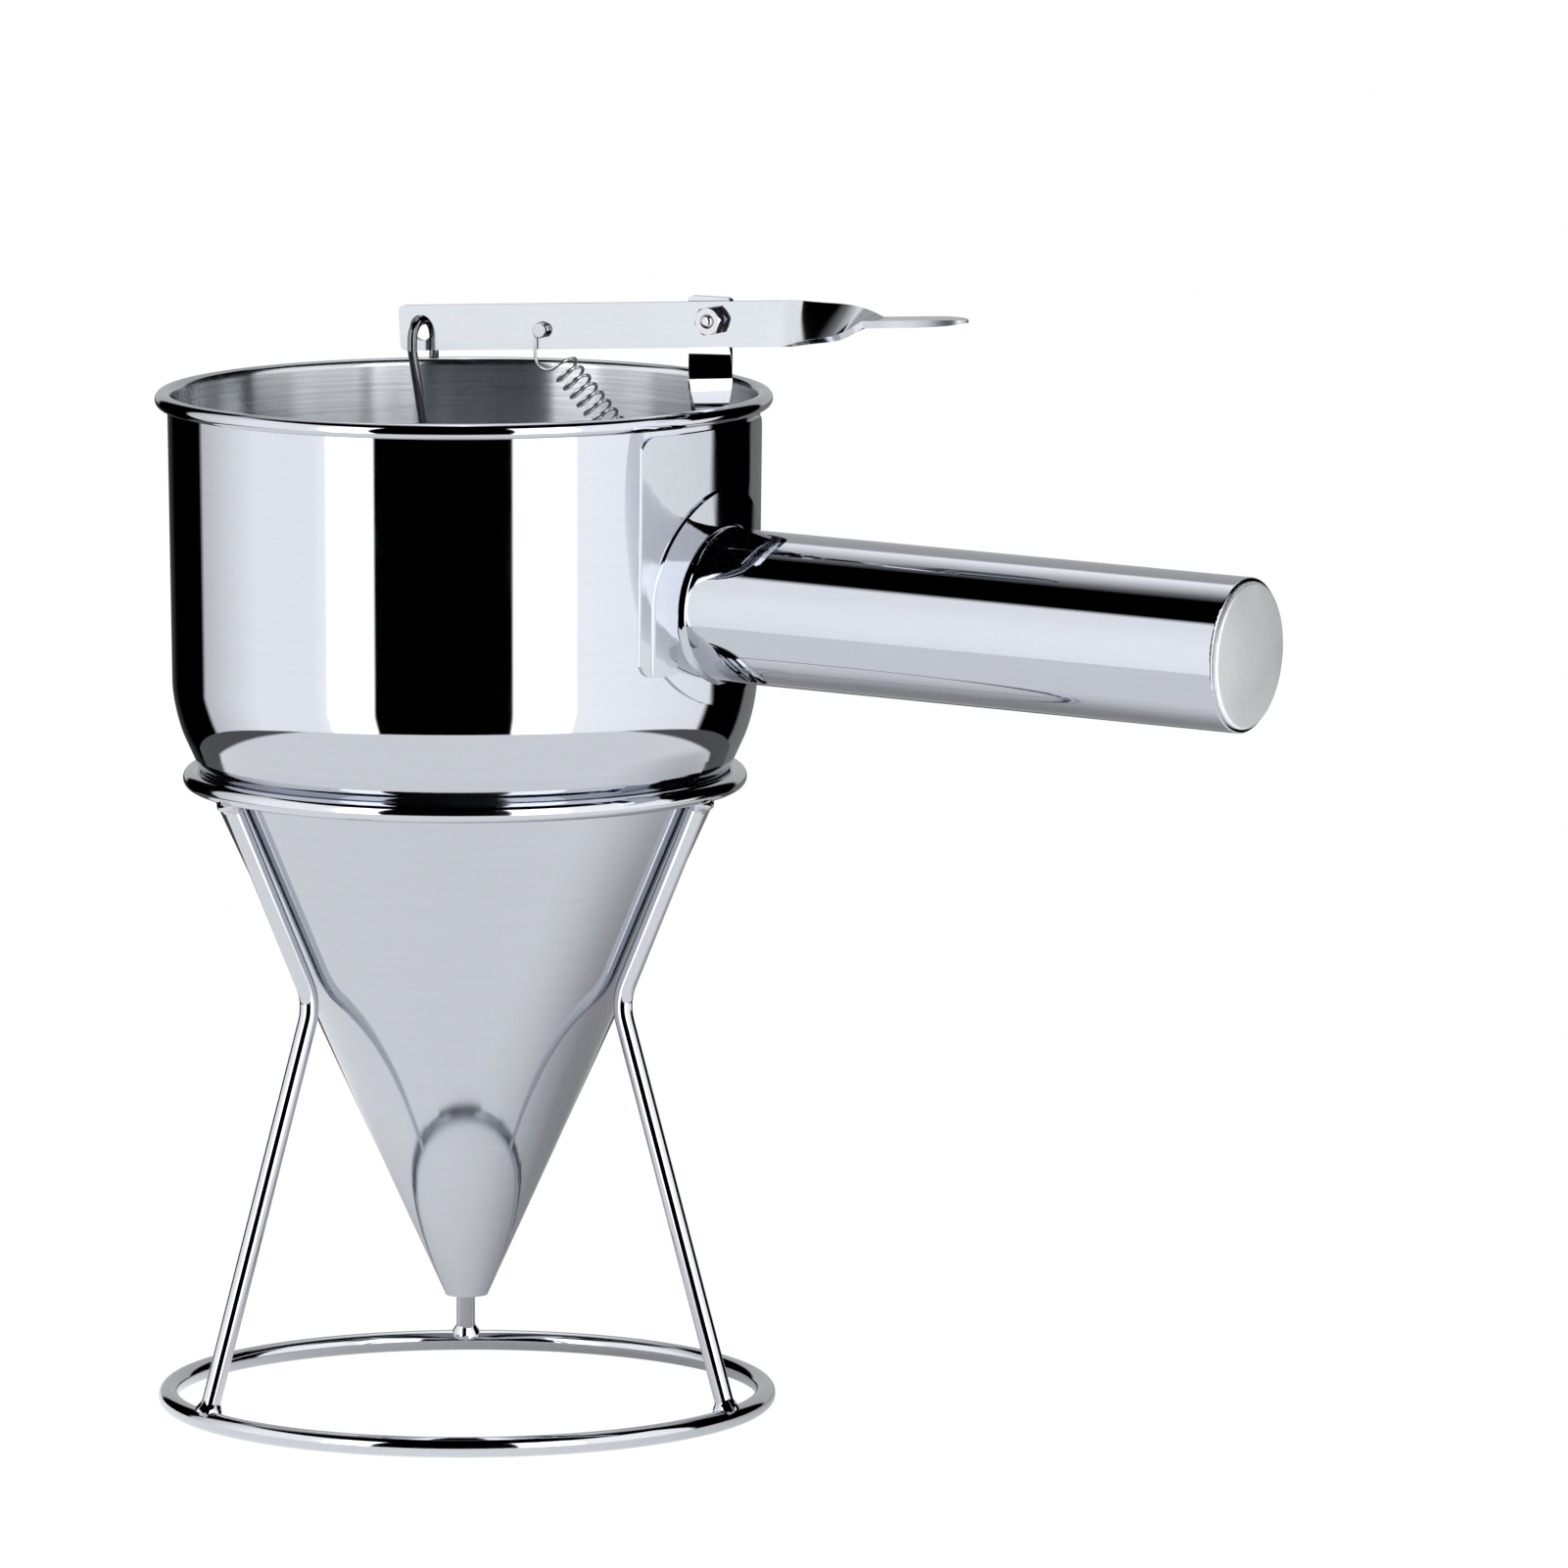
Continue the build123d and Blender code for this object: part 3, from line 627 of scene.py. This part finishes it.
def draw_out(mesh, rim, reach):
    """Lengthen a strip from its open end; gives the new end's points and edges."""
    grown = bmesh.ops.extrude_edge_only(mesh, edges=rim)["geom"]
    points = [part for part in grown if isinstance(part, bmesh.types.BMVert)]
    bmesh.ops.translate(mesh, vec=reach, verts=points)
    ends = [
        part for part in grown
        if isinstance(part, bmesh.types.BMEdge) and len(part.link_faces) == 1
    ]
    return points, ends


def twist_out(mesh, rim, start, reach, axis, turn, steps, bite=0.0):
    """Lengthen a strip from its open end while it turns about an axis that moves along from
    start; gives the new end's edges.  With a bite it turns faster at both ends of the twist
    than in the middle."""
    turned = 0.0
    for step in range(steps):
        share = (step + 1) / steps
        to_turn = turn * (share + bite * sin(2 * pi * share) / (2 * pi))
        points, rim = draw_out(mesh, rim, reach / steps)
        bmesh.ops.rotate(
            mesh, cent=start + reach * share, verts=points,
            matrix=Matrix.Rotation(to_turn - turned, 3, axis),
        )
        turned = to_turn
    return rim


def tip_share(angle):
    """How thick the pad's tip is, as a share of the strip, at an angle round its end."""
    return tip_thinness + (1 - tip_thinness) * cos(angle)


along = Vector((cos(lever_slope), 0, sin(lever_slope)))
across = Vector((-sin(lever_slope), 0, cos(lever_slope)))
lever_line = pivot - across * lever_sag
lever = merged_copy("lever")
cut_across(lever, lever_line + along * twist_start, along, clear_outer=True)
round_edges(lever, strip_edge)
_, lever_end = draw_out(lever, open_rim(lever), along * strip_edge)
lever_end = twist_out(
    lever, lever_end, lever_line, along * twist_length, along, -pi / 2, twist_steps, twist_bite
)
_, lever_end = draw_out(lever, lever_end, along * strip_edge)
_, lever_end = draw_out(lever, lever_end, along * (pad_length - pad_tip))
for step in range(tip_steps):
    before, after = (radians(90 * number / tip_steps) for number in (step, step + 1))
    reach = along * (pad_tip * (sin(after) - sin(before)))
    points, lever_end = draw_out(lever, lever_end, reach)
    bmesh.ops.scale(
        lever, vec=(1, max(cos(after), tip_narrowest) / cos(before), 1), verts=points,
        space=Matrix.Translation((0, -pivot.y, 0)),
    )
    bmesh.ops.transform(
        lever, matrix=Matrix.Scale(tip_share(after) / tip_share(before), 4, across),
        space=Matrix.Translation(-lever_line), verts=points,
    )
bmesh.ops.contextual_create(lever, geom=lever_end)
bmesh.ops.recalc_face_normals(lever, faces=lever.faces)
for face in lever.faces:
    past_twist = (face.calc_center_median() - lever_line).dot(along) > twist_start + twist_length
    if past_twist and abs(face.normal.dot(across)) < edge_facing:
        face.material_index = 1
lever_piece = new_piece(
    "thumb_lever", lever, "lever", [strip_steel, sheared_steel],
    smooth=flat_bevel,
)
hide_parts("lever")


# ---- Lever bracket ------------------------------------------------------------------------
# The same strip, welded inside the cup's wall and twisted so that its top lies along the
# lever.  A small lug at its foot holds the lower end of the spring.
bracket_reach = 0.0591
bracket_shift = -0.0004
bracket_twist_top = 0.2284
bracket_twist_foot = 0.2107
bracket_steps = 30
bracket_join = 0.0002
bracket_steel = steel("bracket_polish", (0.56, 0.58, 0.63), 0.06, (2000, 2000, 150), 4e-7, 0.35)

bracket = merged_copy("lever_bracket")
for height in (bracket_twist_top, bracket_twist_foot):
    cut_across(bracket, (0, 0, height), (0, 0, 1))
plain_twist = [
    face for face in bracket.faces
    if bracket_twist_foot < face.calc_center_median().z < bracket_twist_top
]
bmesh.ops.delete(bracket, geom=plain_twist, context="FACES")
round_edges(bracket, strip_edge)
twist_middle = (bracket_twist_top + bracket_twist_foot) / 2
upper_end = [edge for edge in open_rim(bracket) if edge.verts[0].co.z > twist_middle]
lower_end = [edge for edge in open_rim(bracket) if edge.verts[0].co.z < twist_middle]
_, upper_end = draw_out(bracket, upper_end, (0, 0, -bracket_join))
bracket_run = bracket_twist_top - bracket_twist_foot - 2 * bracket_join
upper_end = twist_out(
    bracket, upper_end, Vector((bracket_reach, 0, 0)), Vector((bracket_shift, 0, -bracket_run)),
    Vector((0, 0, 1)), pi / 2, bracket_steps,
)
bmesh.ops.bridge_loops(bracket, edges=upper_end + lower_end)
bmesh.ops.recalc_face_normals(bracket, faces=bracket.faces)
bracket_piece = new_piece(
    "bracket", bracket, "funnel", [bracket_steel], smooth=flat_bevel
)
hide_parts("lever_bracket")


# ---- Pivot bolt, nut and washer -----------------------------------------------------------
# An M3 machine screw with a domed end, its hexagon nut and a plain washer, zinc bright.  The
# washer keeps the lever clear of its bracket.
fastener_steel = steel("fastener_bright", (0.50, 0.50, 0.52), 0.22, (1500, 400, 1500), 3e-6, 0.3)
for name in ("pivot_bolt", "pivot_nut", "pivot_washer"):
    nodes_of[name].data.materials[0] = fastener_steel


# ---- Spring pin ---------------------------------------------------------------------------
# A small pin of the same bright steel, riveted into the lever.  Its flat disc head keeps the
# spring's hook on.
nodes_of["spring_pin"].data.materials[0] = fastener_steel


# ---- Return spring ------------------------------------------------------------------------
# Eleven open turns of hard-drawn wire with a swan-neck hook at each end, from the pin down to
# the bracket's lug.
spring_steel = steel("spring_wire", (0.68, 0.68, 0.70), 0.2, (2500, 2500, 2500), 1e-6, 0.3)

spring = merged_copy("return_spring")
spring_piece = new_piece("coil_spring", spring, None, [spring_steel], smooth=40)
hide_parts("return_spring")
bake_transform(spring_piece)


# ---- Plunger ------------------------------------------------------------------------------
# One chromed wire with a hook through the lever's hole, and the turned steel cone on its
# foot that closes the nozzle.
# The wire's colour is painted near black: painted shade for the dark the chromed wire shows
# below the lever.
rod_painted_dark = steel("rod_painted_shade", (0.17, 0.175, 0.19), 0.06, (700, 700, 700), 3e-7, 0.4)
nodes_of["plunger_rod"].data.materials[0] = rod_painted_dark
plug_steel = steel("plug_turned", (0.54, 0.55, 0.58), 0.18, (60, 60, 6000), 2e-6, 0.3)
nodes_of["plunger_plug"].data.materials[0] = plug_steel


# ---- Stand --------------------------------------------------------------------------------
# Two rings and three bent legs of chromed wire, butt welded; the small lumpy beads of the
# welds are chromed over.
base_ring = Vector((cup_radius + 0.00175, 0, 0.00215))
top_ring = Vector((cup_radius - 0.00405, 0, 0.13375))
leg_bend_height = 0.0885
leg_stand_off = 0.0027
leg_bend = Vector((cone_reach(leg_bend_height, leg_stand_off), 0, leg_bend_height))
leg_count = 3
first_leg_angle = 0.2
bead_facets = 28

# A weld bead's section, as (distance from the leg's axis, distance up it from the ring's).
bead_profile = [
    (0.0016, 0.0010), (0.0030, 0.0014), (0.0029, 0.0021), (0.0025, 0.0028), (0.0021, 0.0035),
    (0.0019, 0.0042), (0.0016, 0.0042),
]
lumps_per_metre = 900.0
lump_height = 0.00035
wire_chrome = steel("wire_chrome", (0.60, 0.62, 0.66), 0.06, (700, 700, 700), 3e-7, 0.4)

for name in ("stand_base_ring", "stand_top_ring", "stand_leg_1", "stand_leg_2", "stand_leg_3"):
    nodes_of[name].data.materials[0] = wire_chrome
beads = bmesh.new()
for leg in range(leg_count):
    leg_turn = Matrix.Rotation(radians(first_leg_angle + 360 / leg_count * leg), 4, "Z")
    for joint in (base_ring, top_ring):
        up_the_leg = (leg_bend - joint).to_track_quat("Z", "Y").to_matrix().to_4x4()
        bead_place = leg_turn @ Matrix.Translation(joint) @ up_the_leg
        middle = bead_place.to_translation()
        for vert in spun_ring(beads, bead_profile, bead_place, bead_facets):
            swell = noise.noise(vert.co * lumps_per_metre) * lump_height
            vert.co += (vert.co - middle).normalized() * swell
bmesh.ops.recalc_face_normals(beads, faces=beads.faces)
new_piece("stand_welds", beads, "stand", [wire_chrome], smooth=60)
